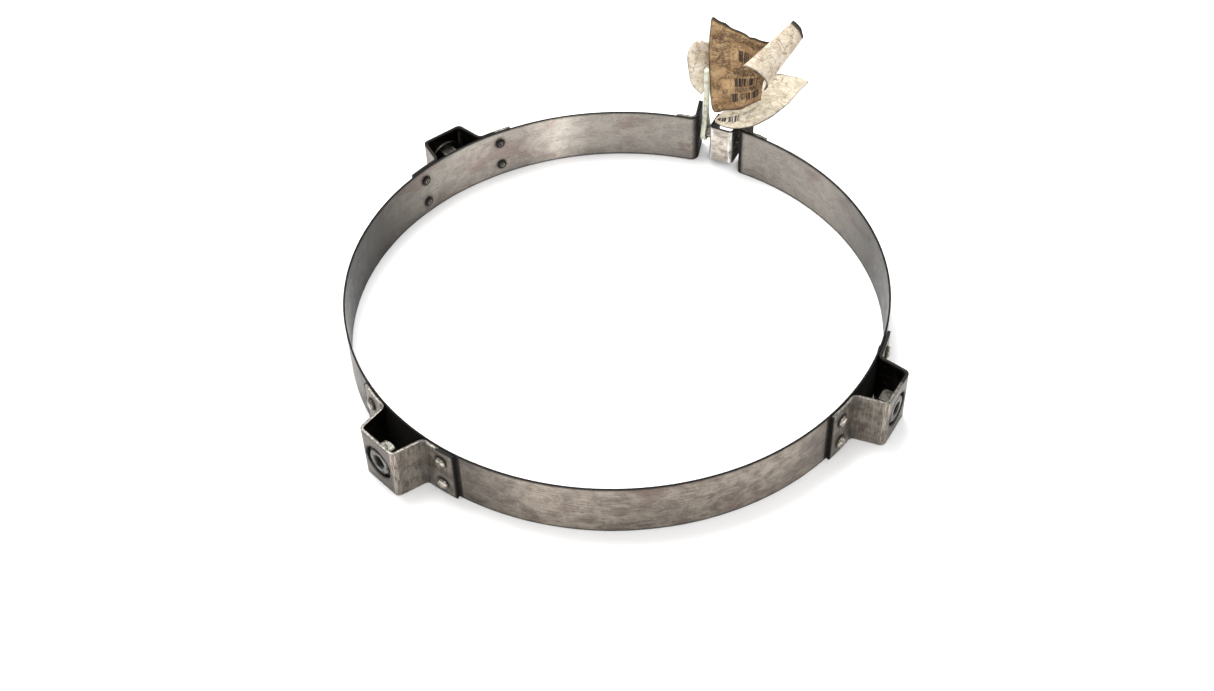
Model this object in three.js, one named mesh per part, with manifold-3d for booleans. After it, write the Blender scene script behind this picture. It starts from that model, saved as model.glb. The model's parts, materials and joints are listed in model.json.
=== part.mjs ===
// Strap clamp for a large pipe or duct: a steel strap ring standing on its edge, drawn together by
// one bolt across a gap, with three riveted hat brackets that each hold a weld nut, and the
// paper tags that are tied to the bolt. Millimetres, +Z up. The ring's axis is Z, its lower edge
// lies on z = 0, and the gap with the bolt faces +Y.
import * as THREE from 'three';
import { mergeVertices } from 'three/addons/utils/BufferGeometryUtils.js';
import Module from 'manifold-3d';

const wasm = await Module();
wasm.setup();

// ---- Driving dimensions ----------------------------------------------------------------------
const FIT_GAP = 0.3;             // left between pieces that touch
const ARC_STEP = 3;              // degrees per facet of the ring
const BEND_FACETS = 5;           // facets in each bend of a bent strip
const HOLE_SIDES = 12;
const HEX_SIDES = 6;
const OVERRUN = 1;               // how far a cutter or a joined piece runs past a face

const RING_INNER_R = 117.5;
const STRAP_T = 0.8;
const STRAP_W = 25.4;
const STRAP_MID_R = RING_INNER_R + STRAP_T / 2;
const STRAP_OUTER_R = RING_INNER_R + STRAP_T;
const SEAM_HALF_ANGLE = 0.075;   // degrees, half of the break opposite the bolt

const EAR_LENGTH = 14.2;         // from the strap's middle line to the tip
const LEFT_EAR = { x: 12.45, splay: 15, bend: 3.6, lugBend: 2.6 };
const RIGHT_EAR = { x: 9.1, splay: 0, bend: 1.6, lugBend: 1.0 };
const LUG_T = 1.2;
const LUG_FOOT_ANGLE = 11.2;     // degrees from the middle of the gap to the end of the foot
const EAR_HOLE_R = 3.1;
const EAR_HOLE_REACH = 30;       // half the length of the cutter that makes all the ears' holes

const BOLT_Y = 125.1;
const BOLT_Z = STRAP_W / 2;
const BOLT_R = 2.4;
const BOLT_SIDES = 16;
const BOLT_END_X = 21;
const HEAD_FACE_X = -19.2;
const HEAD_T = 3.5;
const HEX_R = 5.5;               // across the corners, halved
const WASHER_R = 4.6;
const WASHER_T = 1.0;
const LEFT_WASHER_X = -18.9;
const RIGHT_WASHER_X = 11.5;
const LOCK_NUT_T = 3.9;
const LOCK_COLLAR_T = 1.3;
const LOCK_COLLAR_R = 4.1;
const THREAD_GAP = 0.06;

const SPACER = { x: -0.6, width: 12.4, t: 1.2, bend: 1.6, low: 3.2, high: 22.2, base: 117.7, tip: 129.3 };

const BRACKETS = { a: 249.3, b: 355.4, c: 154.5 };   // azimuth of each bracket, degrees
const HAT_T = 1.3;
const HAT_OUTER_R = 133;         // face of the outer plate
const HAT_TOP_HALF = 9.9;        // middle line, at the outer plate
const HAT_BASE_HALF = 12.4;      // middle line, at the flanges
const HAT_TOP_BEND = 1.9;
const HAT_BASE_BEND = 2.6;
const FLANGE_END_ANGLE = 13.6;   // degrees from the middle of the bracket
const FLANGE_START_ANGLE = 8.7;
const FLANGE_STEP = 2;
const SEAT_HOLE_R = 7.6;

const RIVET_ANGLE = 10.56;
const RIVET_HEIGHTS = [6.35, 19.05];
const RIVET = { head: 2.8, headH: 1.6, shank: 1.6, tail: 2.35, tailH: 0.85, sides: 14 };
const RIVET_HOLE_R = RIVET.shank + FIT_GAP;

// Weld nut: a round flange behind the outer plate, a pilot boss in its seat, and a hexagon inside.
const NUT = { flangeR: 8.4, flangeT: 1.3, bossR: 5.9, bore: 2.75, hexR: 6.4, end: 125.4, sides: 24 };
const NUT_FACE_R = HAT_OUTER_R - HAT_T - FIT_GAP;

// Planes that the tags lie in: width turned from +X and height leaning away from the ring, degrees.
const UPRIGHT = { turn: 27, lean: 25, origin: [-7.1, 117.3, 36.4] };
const LYING = { turn: 0, lean: 82, origin: [-3, 116.6, 27.2] };
const TAG_T = 1.4;
const LEFT_TAG_DEPTH = -11;
const ROLL = { wide: 7.8, narrow: 4.6, wall: 0.9, length: 33.5, tilt: -43, flat: 0.55, foot: [20.1, 11.9] };
const ROLL_GAP = 0.8;            // between the roll and the tag behind it
const ROLL_SIDES = 16;
const TIE = { x: -11.4, width: 2.4, t: 1.1, slack: 0.6, neck: 24, top: 49.5, step: 22.5 };

// ---- Materials -------------------------------------------------------------------------------
function paint(colour, roughness, metalness) {
  return new THREE.MeshStandardMaterial({ color: colour, roughness, metalness });
}
const stainedSteel = () => paint(0x8c857d, 0.42, 0.9);
const bracketSteel = () => paint(0x7d766e, 0.45, 0.9);
const brightSteel = () => paint(0xa9a59c, 0.35, 0.95);
const kraftPaper = () => paint(0xa37b4f, 0.85, 0);
const creamPaper = () => paint(0xe0d8c2, 0.85, 0);
const tiePlastic = () => paint(0xd3d6be, 0.5, 0);

// ---- Solids ----------------------------------------------------------------------------------
function toSolid(geometry) {
  const bare = geometry.index ? geometry.toNonIndexed() : geometry.clone();
  bare.deleteAttribute('normal');
  bare.deleteAttribute('uv');
  const merged = mergeVertices(bare, 1e-4);
  return new wasm.Manifold(new wasm.Mesh({
    numProp: 3,
    vertProperties: new Float32Array(merged.attributes.position.array),
    triVerts: new Uint32Array(merged.index.array),
  }));
}

function toGeometry(solid) {
  const mesh = solid.getMesh();
  const geometry = new THREE.BufferGeometry();
  geometry.setAttribute('position', new THREE.BufferAttribute(mesh.vertProperties, 3));
  geometry.setIndex(new THREE.BufferAttribute(mesh.triVerts, 1));
  geometry.computeVertexNormals();
  return geometry;
}

function cut(geometry, tools) {
  const cutSolid = tools.reduce((solid, tool) => solid.subtract(toSolid(tool)), toSolid(geometry));
  return toGeometry(cutSolid);
}

function join(geometries) {
  const [first, ...rest] = geometries;
  return toGeometry(rest.reduce((solid, piece) => solid.add(toSolid(piece)), toSolid(first)));
}

// A cylinder whose axis is the Y axis, from one Y to another.
function rod(radius, fromY, toY, sides) {
  const geometry = new THREE.CylinderGeometry(radius, radius, toY - fromY, sides);
  return geometry.translate(0, (fromY + toY) / 2, 0);
}

// Turns a piece built along +Y so that it points along the bolt's axis, towards +X.
function alongBolt(geometry) {
  return geometry.rotateZ(-Math.PI / 2).translate(0, BOLT_Y, BOLT_Z);
}

// Turns a piece built along +Y so that it points outward at an azimuth.
function outward(geometry, azimuth, z = 0) {
  return geometry.rotateZ(THREE.MathUtils.degToRad(azimuth - 90)).translate(0, 0, z);
}

// ---- Bent strips -----------------------------------------------------------------------------
function polar(radius, degrees) {
  const angle = THREE.MathUtils.degToRad(degrees);
  return new THREE.Vector2(radius * Math.cos(angle), radius * Math.sin(angle));
}

function arc(radius, fromDegrees, toDegrees, step = ARC_STEP) {
  const count = Math.max(1, Math.round(Math.abs(toDegrees - fromDegrees) / step));
  return Array.from({ length: count + 1 },
    (_, i) => polar(radius, fromDegrees + ((toDegrees - fromDegrees) * i) / count));
}

// Replaces one corner by an arc that touches both of its sides.
function bend(before, corner, after, radius) {
  const back = before.clone().sub(corner).normalize();
  const ahead = after.clone().sub(corner).normalize();
  const half = Math.acos(THREE.MathUtils.clamp(back.dot(ahead), -1, 1)) / 2;
  const toCentre = back.clone().add(ahead).normalize();
  const centre = corner.clone().addScaledVector(toCentre, radius / Math.sin(half));
  const start = corner.clone().addScaledVector(back, radius / Math.tan(half)).sub(centre);
  const turn = (Math.PI - 2 * half) * Math.sign(start.cross(toCentre.clone().negate()));
  return Array.from({ length: BEND_FACETS + 1 },
    (_, i) => start.clone().rotateAround(new THREE.Vector2(), (turn * i) / BEND_FACETS).add(centre));
}

// The outline of a strip of constant thickness that follows a middle line.
function stripOutline(path, thickness) {
  const sides = [1, -1].map((side) => path.map((point, i) => {
    const before = path[Math.max(i - 1, 0)];
    const after = path[Math.min(i + 1, path.length - 1)];
    const here = point.clone().sub(before).normalize();
    const next = after.clone().sub(point).normalize();
    const along = here.clone().add(next).normalize();
    const stretch = i > 0 && i < path.length - 1 ? 1 / Math.sqrt((1 + here.dot(next)) / 2) : 1;
    const normal = new THREE.Vector2(-along.y, along.x);
    return point.clone().addScaledVector(normal, (side * stretch * thickness) / 2);
  }));
  return [...sides[0], ...sides[1].reverse()];
}

function bentStrip(path, thickness, low, high) {
  const shape = new THREE.Shape(stripOutline(path, thickness));
  const options = { depth: high - low, bevelEnabled: false };
  return new THREE.ExtrudeGeometry(shape, options).translate(0, 0, low);
}

function mirrored(path, side) {
  return path.map((point) => new THREE.Vector2(side * point.x, point.y));
}

// ---- Strap, ears and lugs --------------------------------------------------------------------
// The middle line of a strip that follows the ring and turns outward into an ear.
function earPath(radius, fromAngle, ear, offset, bendR, length) {
  const splay = THREE.MathUtils.degToRad(ear.splay);
  const x = ear.x + offset / Math.cos(splay);
  const corner = new THREE.Vector2(x, Math.sqrt(radius * radius - x * x));
  const reach = length / Math.cos(splay);
  const tip = corner.clone().add(new THREE.Vector2(Math.sin(splay), Math.cos(splay))
    .multiplyScalar(reach));
  const cornerAngle = THREE.MathUtils.radToDeg(corner.angle());
  const ring = arc(radius, fromAngle, cornerAngle - ARC_STEP);
  return [...ring, ...bend(ring[ring.length - 1], corner, tip, bendR), tip];
}

function boltHole() {
  return alongBolt(rod(EAR_HOLE_R, -EAR_HOLE_REACH, EAR_HOLE_REACH, BOLT_SIDES));
}

// Azimuth and height of the four rivets of the bracket at an azimuth.
function rivetPlaces(azimuth) {
  return [-RIVET_ANGLE, RIVET_ANGLE].flatMap((offset) => RIVET_HEIGHTS
    .map((z) => [azimuth + offset, z]));
}

function rivetHoles(azimuth) {
  const hole = () => rod(RIVET_HOLE_R, RING_INNER_R - OVERRUN, STRAP_OUTER_R + HAT_T + 2 * OVERRUN,
    HOLE_SIDES);
  return rivetPlaces(azimuth).map(([angle, z]) => outward(hole(), angle, z));
}

function strapHalf(ear, side, azimuths) {
  const path = earPath(STRAP_MID_R, -90 + SEAM_HALF_ANGLE, ear, 0, ear.bend, EAR_LENGTH);
  const strip = bentStrip(mirrored(path, side), STRAP_T, 0, STRAP_W);
  return cut(strip, [boltHole(), ...azimuths.flatMap(rivetHoles)]);
}

function lug(ear, side) {
  const offset = (STRAP_T + LUG_T) / 2 + FIT_GAP;
  const radius = STRAP_MID_R + offset;
  const path = earPath(radius, 90 - LUG_FOOT_ANGLE, ear, offset, ear.lugBend, EAR_LENGTH - offset);
  return cut(bentStrip(mirrored(path, side), LUG_T, 0, STRAP_W), [boltHole()]);
}

// ---- Bolt across the gap ---------------------------------------------------------------------
function clampBolt() {
  const head = rod(HEX_R, HEAD_FACE_X - HEAD_T, HEAD_FACE_X, HEX_SIDES);
  const shank = rod(BOLT_R, HEAD_FACE_X - HEAD_T / 2, BOLT_END_X, BOLT_SIDES);
  return alongBolt(join([head, shank]));
}

function washer(fromX) {
  const hole = rod(BOLT_R + FIT_GAP / 2, fromX - OVERRUN, fromX + WASHER_T + OVERRUN, BOLT_SIDES);
  return alongBolt(cut(rod(WASHER_R, fromX, fromX + WASHER_T, BOLT_SIDES), [hole]));
}

function lockNut() {
  const face = RIGHT_WASHER_X + WASHER_T + FIT_GAP;
  const end = face + LOCK_NUT_T + LOCK_COLLAR_T;
  const hex = rod(HEX_R, face, face + LOCK_NUT_T, HEX_SIDES);
  const collar = rod(LOCK_COLLAR_R, face + LOCK_NUT_T - OVERRUN, end, BOLT_SIDES);
  const bore = rod(BOLT_R + THREAD_GAP, face - OVERRUN, end + OVERRUN, BOLT_SIDES);
  return alongBolt(cut(join([hex, collar]), [bore]));
}

function gapSpacer() {
  const half = (SPACER.width - SPACER.t) / 2;
  const baseY = SPACER.base + SPACER.t / 2;
  const corners = [[-half, SPACER.tip], [-half, baseY], [half, baseY], [half, SPACER.tip]]
    .map(([x, y]) => new THREE.Vector2(SPACER.x + x, y));
  const path = [corners[0], ...bend(corners[0], corners[1], corners[2], SPACER.bend),
    ...bend(corners[1], corners[2], corners[3], SPACER.bend), corners[3]];
  return cut(bentStrip(path, SPACER.t, SPACER.low, SPACER.high), [boltHole()]);
}

// ---- Hat brackets, weld nuts and rivets, built pointing along +Y ------------------------------
function hatPath() {
  const flangeR = STRAP_OUTER_R + FIT_GAP + HAT_T / 2;
  const baseY = Math.sqrt(flangeR ** 2 - HAT_BASE_HALF ** 2);
  const topY = HAT_OUTER_R - HAT_T / 2;
  const flange = arc(flangeR, 90 - FLANGE_END_ANGLE, 90 - FLANGE_START_ANGLE, FLANGE_STEP);
  const base = new THREE.Vector2(HAT_BASE_HALF, baseY);
  const top = new THREE.Vector2(HAT_TOP_HALF, topY);
  const right = [...flange, ...bend(flange[flange.length - 1], base, top, HAT_BASE_BEND),
    ...bend(base, top, new THREE.Vector2(0, topY), HAT_TOP_BEND)];
  return [...right, ...mirrored(right, -1).reverse()];
}

function hatBracket() {
  const seatHole = rod(SEAT_HOLE_R, HAT_OUTER_R - HAT_T - OVERRUN, HAT_OUTER_R + OVERRUN, NUT.sides)
    .translate(0, 0, STRAP_W / 2);
  const strip = bentStrip(hatPath(), HAT_T, 0, STRAP_W);
  return cut(strip, [seatHole, ...rivetHoles(90)]);
}

function weldNut() {
  const back = NUT_FACE_R - NUT.flangeT;
  const flange = rod(NUT.flangeR, back, NUT_FACE_R, NUT.sides);
  const boss = rod(NUT.bossR, back, HAT_OUTER_R - FIT_GAP, NUT.sides);
  const barrel = rod(NUT.hexR, NUT.end, back + NUT.flangeT / 2, HEX_SIDES);
  const bore = rod(NUT.bore, NUT.end - OVERRUN, HAT_OUTER_R, BOLT_SIDES);
  return cut(join([flange, boss, barrel]), [bore]).translate(0, 0, STRAP_W / 2);
}

function rivet() {
  const seat = STRAP_OUTER_R + FIT_GAP + HAT_T + FIT_GAP;
  const inside = RING_INNER_R - FIT_GAP;
  const profile = [
    [0, inside - RIVET.tailH], [RIVET.tail * 0.8, inside - RIVET.tailH],
    [RIVET.tail, inside - RIVET.tailH * 0.6], [RIVET.tail, inside], [RIVET.shank, inside],
    [RIVET.shank, seat], [RIVET.head, seat], [RIVET.head * 0.92, seat + RIVET.headH * 0.45],
    [RIVET.head * 0.6, seat + RIVET.headH * 0.86], [0, seat + RIVET.headH],
  ].map(([radius, y]) => new THREE.Vector2(radius, y));
  return new THREE.LatheGeometry(profile, RIVET.sides);
}

// ---- Paper tags and tie ----------------------------------------------------------------------
// The plane that a tag lies in: width, height, and the side that faces up and into the ring.
function tagFrame(plane) {
  const turn = THREE.MathUtils.degToRad(plane.turn);
  const lean = THREE.MathUtils.degToRad(plane.lean);
  const across = new THREE.Vector3(Math.cos(turn), Math.sin(turn), 0);
  const back = new THREE.Vector3(-Math.sin(turn), Math.cos(turn), 0);
  const up = back.clone().multiplyScalar(Math.sin(lean)).setZ(Math.cos(lean));
  const facing = new THREE.Vector3().crossVectors(across, up);
  return new THREE.Matrix4().makeBasis(across, up, facing)
    .setPosition(new THREE.Vector3(...plane.origin));
}

// A flat tag with a smooth or straight-sided outline, at a depth from its plane.
function tag(plane, depth, corners, smooth = false) {
  const points = corners.map(([across, up]) => new THREE.Vector2(across, up));
  const loop = new THREE.SplineCurve([...points, points[0]]).getPoints(points.length * 3).slice(1);
  const shape = new THREE.Shape(smooth ? loop : points);
  const options = { depth: TAG_T, bevelEnabled: false };
  return new THREE.ExtrudeGeometry(shape, options).translate(0, 0, depth)
    .applyMatrix4(tagFrame(plane));
}

const brownTag = () => tag(UPRIGHT, 0, [[2.6, -4.3], [0.4, 6], [0.3, 34.8], [2.5, 41.1],
  [15.6, 33.6], [28.8, 28.4], [24.7, 1]]);
const lowerTag = () => tag(LYING, 0, [[-0.3, 1], [1.3, -1.9], [8.9, -3], [15.6, -0.4], [21.3, 4.6],
  [25.4, 12], [28.5, 22], [31.8, 39.7], [27.5, 40.8], [15.7, 39.8], [5, 24]]);
const leftTag = () => tag(UPRIGHT, LEFT_TAG_DEPTH, [[-2.9, 2.1], [-5.5, 4.8], [-7.7, 8.2],
  [-9.2, 17], [-8.5, 23.5], [-5.9, 27.3], [-1.6, 28.3], [2.4, 26], [2.6, 13]], true);

// A tag rolled into a flattened, tapered tube, open at both ends.
function rolledTag() {
  const profile = [[ROLL.wide - ROLL.wall, 0], [ROLL.wide, 0], [ROLL.narrow, ROLL.length],
    [ROLL.narrow - ROLL.wall, ROLL.length], [ROLL.wide - ROLL.wall, 0]]
    .map(([radius, y]) => new THREE.Vector2(radius, y));
  const depth = TAG_T + ROLL_GAP + ROLL.wide * ROLL.flat;
  return new THREE.LatheGeometry(profile, ROLL_SIDES).scale(1, 1, ROLL.flat)
    .rotateZ(THREE.MathUtils.degToRad(ROLL.tilt)).translate(...ROLL.foot, depth)
    .applyMatrix4(tagFrame(UPRIGHT));
}

// A flat strap looped under the bolt, with both legs drawn together above it and rising to the tags.
function cableTie() {
  const middle = BOLT_R + TIE.slack + TIE.t / 2;
  const apart = (TIE.t + FIT_GAP) / 2;
  const loop = arc(middle, 180, 360, TIE.step)
    .map((point) => point.add(new THREE.Vector2(BOLT_Y, BOLT_Z)));
  const leg = (side) => [TIE.neck, TIE.top].map((z) => new THREE.Vector2(BOLT_Y + side * apart, z));
  const shape = new THREE.Shape(stripOutline([...leg(-1).reverse(), ...loop, ...leg(1)], TIE.t));
  const options = { depth: TIE.width, bevelEnabled: false };
  const strip = new THREE.ExtrudeGeometry(shape, options).translate(0, 0, -TIE.width / 2);
  const toYZ = new THREE.Matrix4().makeBasis(new THREE.Vector3(0, 1, 0),
    new THREE.Vector3(0, 0, 1), new THREE.Vector3(1, 0, 0));
  return strip.applyMatrix4(toYZ).translate(TIE.x, 0, 0);
}

// ---- Assembly --------------------------------------------------------------------------------
const group = new THREE.Group();

function add(name, geometry, material) {
  const mesh = new THREE.Mesh(geometry, material);
  mesh.name = name;
  group.add(mesh);
  return mesh;
}

add('strap_left', strapHalf(LEFT_EAR, -1, [BRACKETS.a, BRACKETS.c]), stainedSteel());
add('strap_right', strapHalf(RIGHT_EAR, 1, [BRACKETS.b]), stainedSteel());
add('lug_left', lug(LEFT_EAR, -1), bracketSteel());
add('lug_right', lug(RIGHT_EAR, 1), bracketSteel());
add('gap_spacer', gapSpacer(), brightSteel());
add('clamp_bolt', clampBolt(), brightSteel());
add('bolt_washer', washer(LEFT_WASHER_X), brightSteel());
add('nut_washer', washer(RIGHT_WASHER_X), brightSteel());
add('lock_nut', lockNut(), brightSteel());

for (const [letter, azimuth] of Object.entries(BRACKETS)) {
  add(`hat_bracket_${letter}`, outward(hatBracket(), azimuth), bracketSteel());
  add(`weld_nut_${letter}`, outward(weldNut(), azimuth), brightSteel());
  rivetPlaces(azimuth).forEach(([angle, z], i) => add(`rivet_${letter}${i + 1}`,
    outward(rivet(), angle, z), brightSteel()));
}

add('tag_brown', brownTag(), kraftPaper());
add('tag_lower', lowerTag(), creamPaper());
add('tag_left', leftTag(), creamPaper());
add('tag_rolled', rolledTag(), creamPaper());
add('cable_tie', cableTie(), tiePlastic());

export default group;
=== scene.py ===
"""Looks for the strap clamp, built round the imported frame. Metres, in the frame's own axes.

The strap ring's axis is Z, its lower edge lies on z = 0, and the bolted gap faces +Y.
"""
import json
import math

import bmesh
import bpy
from mathutils import Matrix, Vector, noise


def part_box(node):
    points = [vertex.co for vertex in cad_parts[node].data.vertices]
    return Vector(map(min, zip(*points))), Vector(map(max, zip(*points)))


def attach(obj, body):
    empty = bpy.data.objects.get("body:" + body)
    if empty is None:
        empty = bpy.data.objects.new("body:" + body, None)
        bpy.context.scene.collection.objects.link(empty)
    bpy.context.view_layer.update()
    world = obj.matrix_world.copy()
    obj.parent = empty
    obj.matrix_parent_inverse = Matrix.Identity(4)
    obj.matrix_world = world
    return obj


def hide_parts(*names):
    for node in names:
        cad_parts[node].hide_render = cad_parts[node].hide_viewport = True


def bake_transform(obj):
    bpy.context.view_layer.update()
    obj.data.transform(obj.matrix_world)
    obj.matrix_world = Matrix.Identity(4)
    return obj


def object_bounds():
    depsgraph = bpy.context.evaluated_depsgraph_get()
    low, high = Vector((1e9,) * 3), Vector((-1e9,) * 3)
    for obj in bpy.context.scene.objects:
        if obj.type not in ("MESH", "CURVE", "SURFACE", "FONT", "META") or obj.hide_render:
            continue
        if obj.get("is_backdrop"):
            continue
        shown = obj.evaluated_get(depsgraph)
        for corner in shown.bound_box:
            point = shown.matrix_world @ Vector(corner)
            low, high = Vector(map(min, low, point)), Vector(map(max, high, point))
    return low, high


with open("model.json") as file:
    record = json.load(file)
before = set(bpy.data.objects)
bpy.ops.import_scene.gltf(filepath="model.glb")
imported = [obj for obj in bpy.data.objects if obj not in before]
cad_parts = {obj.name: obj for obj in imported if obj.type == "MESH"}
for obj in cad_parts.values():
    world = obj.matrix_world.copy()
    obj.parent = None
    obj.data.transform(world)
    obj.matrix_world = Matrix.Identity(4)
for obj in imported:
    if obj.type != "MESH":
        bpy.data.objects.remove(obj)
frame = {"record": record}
cad_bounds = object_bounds()

MM = 0.001
SHARP_ANGLE = 32
JOINTS = {joint["name"]: joint for joint in frame["record"]["behaviour"]["joints"]}
MOUNTS = {mount["name"]: mount for mount in frame["record"]["mounts"]}

# ---- Sizes, in millimetres, as the frame has them ----
STRAP_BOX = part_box("strap_left")
STRAP_W = STRAP_BOX[1][2] / MM
STRAP_T = 0.8
RING_INNER_R = -STRAP_BOX[0][0] / MM - STRAP_T
STRAP_MID_R = RING_INNER_R + STRAP_T / 2
STRAP_OUTER_R = RING_INNER_R + STRAP_T
FIT_GAP = 0.3

EAR_LENGTH = 14.2
LEFT_EAR = {"x": 12.45, "splay": 15, "bend": 3.6, "lug_bend": 2.6}
RIGHT_EAR = {"x": 9.1, "splay": 0, "bend": 1.6, "lug_bend": 1.0}
ROOM_FOR_BEND = 3
LUG_T = 1.2
LUG_FOOT_ANGLE = 11.2
EAR_HOLE_R = 3.1
RIPPLE = {"height": 0.12, "along": 26, "up": 30}

BOLT_Y = JOINTS["tag_swing"]["pos_m"][1] / MM
BOLT_Z = JOINTS["tag_swing"]["pos_m"][2] / MM
BOLT_R = 2.4
BOLT_HEAD = {"face": -19.2, "t": 3.5}
BOLT_THREAD = {"pitch": 0.794, "depth": 0.26, "start": -3.6}
HEX_R = 5.5
HEX_CHAMFER = {"drop": 0.1, "depth": 0.085, "steps": 6}
WASHER = {"rim_r": 4.6, "play": 0.15, "round_off": 0.15}
LOCK_NUT = {"hex_t": 3.9, "collar_r": 4.3, "play": 0.06}
DRILL_REACH = 40
SEAT_DRILL_REACH = 5
DRILL_CHAMFER = 0.25

SPACER_X = -0.6
SPACER = {"width": 12.4, "t": 1.2, "bend": 1.6, "low": 3.2, "high": 22.2, "base": 117.7, "tip": 129.3}

BRACKETS = {
    letter: math.degrees(math.atan2(*reversed(MOUNTS[f"bracket_face_{letter}"]["axis"][:2])))
    for letter in "abc"
}
BODY_OF_BRACKET = {"a": "ring_left", "b": "ring_right", "c": "ring_left"}
HAT_T = 1.3
HAT_OUTER_R = 133.0
HAT_TOP_HALF = 9.9
HAT_BASE_HALF = 12.4
HAT_TOP_BEND = 1.9
HAT_BASE_BEND = 2.6
FLANGE_END_ANGLE = 13.6
FLANGE_START_ANGLE = 8.7
FLANGE_STEP = 0.6
SEAT_HOLE_R = 7.6
NUT_FACE_R = HAT_OUTER_R - HAT_T - FIT_GAP
NUT = {"flange_r": 8.4, "flange_t": 1.3, "boss_r": 5.9, "bore": 2.75, "hex_r": 6.4, "end": 125.4}
NUT_THREAD = {"pitch": 0.907, "depth": 0.32, "crest": 0.22}

RIVET_ANGLE = 10.56
RIVET_HEIGHTS = (6.35, 19.05)
RIVET = {"head": 2.8, "head_h": 1.6, "shank": 1.6, "tail": 2.35, "tail_h": 0.85}

UPRIGHT = {"turn": 27, "lean": 25, "origin": (-7.1, 117.3, 36.4)}
LYING = {"turn": 0, "lean": 82, "origin": (-3, 116.6, 27.2)}
TAG_T = 1.4
PAPER_T = 0.3
SHEET_CELLS = 44
SHEET_SHARP_ANGLE = 60
ROLL = {"wide": 7.8, "narrow": 4.6, "length": 33.0, "tilt": 43, "flat": 0.55, "foot": (20.1, 11.9)}
ROLL_CLEARANCE = 0.8
ROLL_DEPTH = TAG_T + ROLL_CLEARANCE + ROLL["wide"] * ROLL["flat"]
TIE = {"x": -11.4, "width": 2.4, "t": 1.1, "slack": 0.6, "neck": 24, "top": 49.5}


# ---- Plan outlines ----
def polar(radius, degrees):
    angle = math.radians(degrees)
    return Vector((radius * math.cos(angle), radius * math.sin(angle)))


def arc(radius, start, end, step=1.0):
    count = max(1, round(abs(end - start) / step))
    return [polar(radius, start + (end - start) * i / count) for i in range(count + 1)]


def bend(before, corner, after, radius):
    """An arc in place of a corner, touching both of its sides."""
    facets = 12
    back = (before - corner).normalized()
    ahead = (after - corner).normalized()
    half = math.acos(max(-1.0, min(1.0, back.dot(ahead)))) / 2
    to_centre = (back + ahead).normalized()
    centre = corner + to_centre * radius / math.sin(half)
    first = corner + back * radius / math.tan(half) - centre
    side = -1 if first.x * -to_centre.y + first.y * to_centre.x < 0 else 1
    turn = (math.pi - 2 * half) * side
    return [centre + Matrix.Rotation(turn * i / facets, 2) @ first for i in range(facets + 1)]


def mirrored(path):
    return [Vector((-p.x, p.y)) for p in path]


def ear_path(radius, from_angle, ear, offset, bend_r, length):
    """The middle line of a strip that follows the ring and turns outward into an ear."""
    splay = math.radians(ear["splay"])
    x = ear["x"] + offset / math.cos(splay)
    corner = Vector((x, math.sqrt(radius * radius - x * x)))
    tip = corner + Vector((math.sin(splay), math.cos(splay))) * (length / math.cos(splay))
    corner_angle = math.degrees(math.atan2(corner.y, corner.x))
    ring = arc(radius, from_angle, corner_angle - ROOM_FOR_BEND)
    return [*ring, *bend(ring[-1], corner, tip, bend_r), tip]


def strap_path():
    right = ear_path(STRAP_MID_R, -90, RIGHT_EAR, 0, RIGHT_EAR["bend"], EAR_LENGTH)
    left = ear_path(STRAP_MID_R, -90, LEFT_EAR, 0, LEFT_EAR["bend"], EAR_LENGTH)
    return [*reversed(mirrored(left)), *right[1:]]


def lug_path(ear):
    offset = (STRAP_T + LUG_T) / 2 + FIT_GAP
    return ear_path(STRAP_MID_R + offset, 90 - LUG_FOOT_ANGLE, ear, offset,
                    ear["lug_bend"], EAR_LENGTH - offset)


def channel_path(half, base_y, tip_y, bend_r, centre_x=0.0):
    corners = [Vector((centre_x + x, y))
               for x, y in ((-half, tip_y), (-half, base_y), (half, base_y), (half, tip_y))]
    return [corners[0], *bend(*corners[0:3], bend_r), *bend(*corners[1:4], bend_r), corners[3]]


def hat_path():
    flange_r = STRAP_OUTER_R + FIT_GAP + HAT_T / 2
    top_y = HAT_OUTER_R - HAT_T / 2
    flange = arc(flange_r, 90 - FLANGE_END_ANGLE, 90 - FLANGE_START_ANGLE, FLANGE_STEP)
    base = Vector((HAT_BASE_HALF, math.sqrt(flange_r ** 2 - HAT_BASE_HALF ** 2)))
    top = Vector((HAT_TOP_HALF, top_y))
    right = [*flange, *bend(flange[-1], base, top, HAT_BASE_BEND),
             *bend(base, top, Vector((0, top_y)), HAT_TOP_BEND)]
    return [*right, *reversed(mirrored(right))]


# ---- Meshes ----
def subdivided(path, longest):
    """The same path with no stretch longer than a given length."""
    points = [path[0]]
    for here, there in zip(path, path[1:]):
        pieces = max(1, math.ceil((there - here).length / longest))
        points += [here.lerp(there, i / pieces) for i in range(1, pieces + 1)]
    return points


def new_piece(name, verts, faces, material, sharp_angle=SHARP_ANGLE):
    """A mesh object in metres from points in millimetres."""
    mesh = bpy.data.meshes.new(name)
    mesh.from_pydata([tuple(v * MM for v in vert) for vert in verts], [], faces)
    mesh.materials.append(material)
    mesh.polygons.foreach_set("use_smooth", [True] * len(mesh.polygons))
    mesh.set_sharp_from_angle(angle=math.radians(sharp_angle))
    piece = bpy.data.objects.new(name, mesh)
    bpy.context.scene.collection.objects.link(piece)
    return piece


def add_values(mesh, values):
    """Numbers for the material at each point of a mesh, as {name: numbers}."""
    for name, numbers in values.items():
        mesh.attributes.new(name, "FLOAT", "POINT").data.foreach_set("value", numbers)


def add_uv(mesh, name, places):
    """A UV map with one place for each point of a mesh."""
    layer = mesh.uv_layers.new(name=name)
    for loop in mesh.loops:
        layer.data[loop.index].uv = places[loop.vertex_index]


def end_caps(count, total):
    """The first and the last ring of points, as the faces that close a skin."""
    return [tuple(range(count))[::-1], tuple(range(total - count, total))]


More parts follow.
